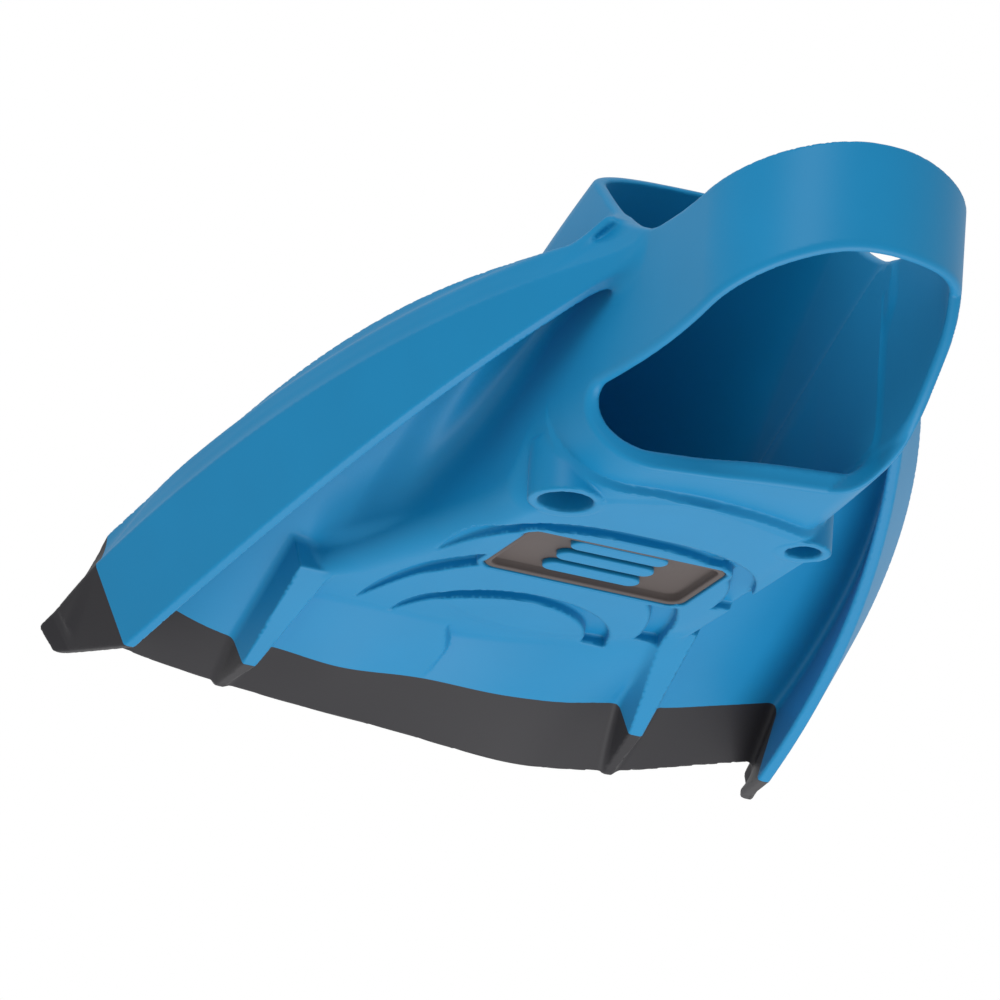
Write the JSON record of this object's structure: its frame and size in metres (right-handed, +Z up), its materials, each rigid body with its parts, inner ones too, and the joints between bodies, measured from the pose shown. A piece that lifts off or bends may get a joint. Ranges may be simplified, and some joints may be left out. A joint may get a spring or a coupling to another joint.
{
  "type": "swim fin",
  "caption": "Short-bladed silicone swim fin for the right foot: foot pocket with heel strap, grooved sole pad, side rails, ribs and a soft dark blade tip.",
  "frame": {"origin": "on the underside of the sole pad, on the blade's centreline, 100 mm behind the toe crease where the blade starts to bend", "axes": "+X to the wearer's right, +Y along the fin towards the blade tip, +Z up from the sole to the instep"},
  "size_m": [0.2188, 0.289, 0.1168],
  "materials": {
    "blue_silicone": "satin",
    "dark_silicone": "satin",
    "dark_insert": "matte"
  },
  "bodies": {
    "foot": {"foot_pocket": "blue_silicone", "sole_pad": "blue_silicone", "sole_insert": "dark_insert", "grip_bars": "blue_silicone", "tether_ring_left": "blue_silicone", "tether_ring_right": "blue_silicone", "rail_left": "blue_silicone", "rail_right": "blue_silicone"},
    "blade": {"blade_panel": "blue_silicone", "blade_rib_left": "blue_silicone", "blade_rib_right": "blue_silicone"},
    "tip": {"blade_tip": "dark_silicone"},
    "heel": {"heel_strap": "blue_silicone"}
  },
  "joints": [
    {"name": "blade_flex", "type": "hinge", "parent": "foot", "child": "blade", "pos_m": [0, 0.1, 0.0025], "axis": [1, 0, 0], "range_deg": [-15, 15], "stiffness_Nm_per_rad": 4},
    {"name": "tip_flex", "type": "hinge", "parent": "blade", "child": "tip", "pos_m": [0, 0.12, -0.0047], "axis": [1, 0, 0], "range_deg": [-9, 9]},
    {"name": "heel_fold", "type": "hinge", "parent": "foot", "child": "heel", "pos_m": [0.006, -0.09, 0.031], "axis": [1, 0, 0], "range_deg": [0, 40], "stiffness_Nm_per_rad": 0.3}
  ],
  "couplings": [
    {"joint": "tip_flex", "follows": "blade_flex", "ratio": 0.6}
  ]
}
